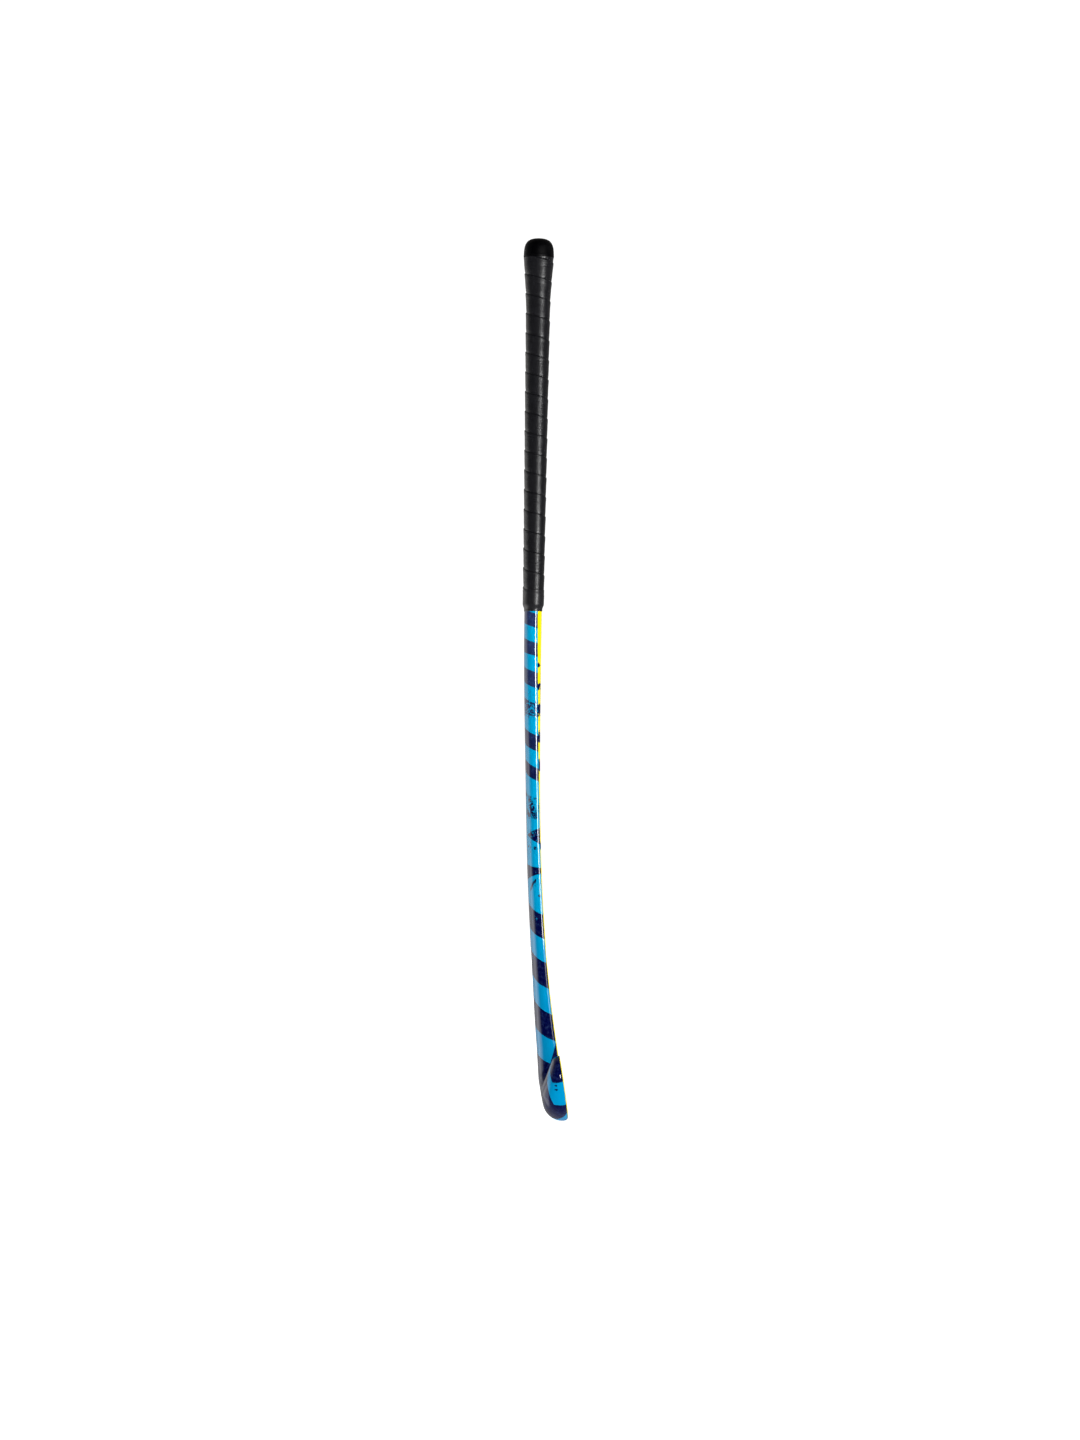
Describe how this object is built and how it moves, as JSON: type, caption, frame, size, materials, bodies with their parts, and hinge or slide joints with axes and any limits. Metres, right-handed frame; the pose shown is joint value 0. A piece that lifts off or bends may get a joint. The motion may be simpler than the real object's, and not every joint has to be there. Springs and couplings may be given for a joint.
{
  "type": "field hockey stick",
  "caption": "Hooked playing stick with a flat face, a crowned back, a bowed shaft and a cushioned, spirally wrapped handle.",
  "frame": {"origin": "centre of the butt cap's round band, on the handle's axis", "axes": "+Z along the handle towards the butt; +X the way the flat playing face looks where it leaves the handle; the toe of the hook points to -Y"},
  "size_m": [0.0604, 0.1096, 0.927],
  "materials": {
    "cap_rubber": "matte moulded rubber",
    "plug_plastic": "moulded plastic",
    "grip_wrap": "satin black polyurethane",
    "grip_underlay": "adhesive cushion strip",
    "finishing_tape": "satin vinyl tape",
    "handle_foam": "rigid polyurethane foam",
    "back_decal": "printed cyan with navy stripes, under gloss lacquer",
    "face_decal": "printed yellow, under gloss lacquer",
    "outer_laminate": "carbon and glass laminate",
    "carbon_ply": "unidirectional carbon in resin",
    "aramid_ply": "woven aramid in resin",
    "tube_braid": "braided carbon in resin",
    "head_foam": "closed-cell foam"
  },
  "bodies": {
    "root": {"butt_cap": "cap_rubber", "butt_plug": "plug_plastic", "grip_wrap": "grip_wrap", "grip_underlay": "grip_underlay", "finishing_tape": "finishing_tape", "handle_foam": "handle_foam", "back_decal": "back_decal", "face_decal": "face_decal", "outer_laminate": "outer_laminate", "shaft_carbon_sleeve": "carbon_ply", "head_aramid_sleeve": "aramid_ply", "toe_side_tube": "tube_braid", "heel_side_tube": "tube_braid", "head_core": "head_foam"}
  },
  "joints": []
}
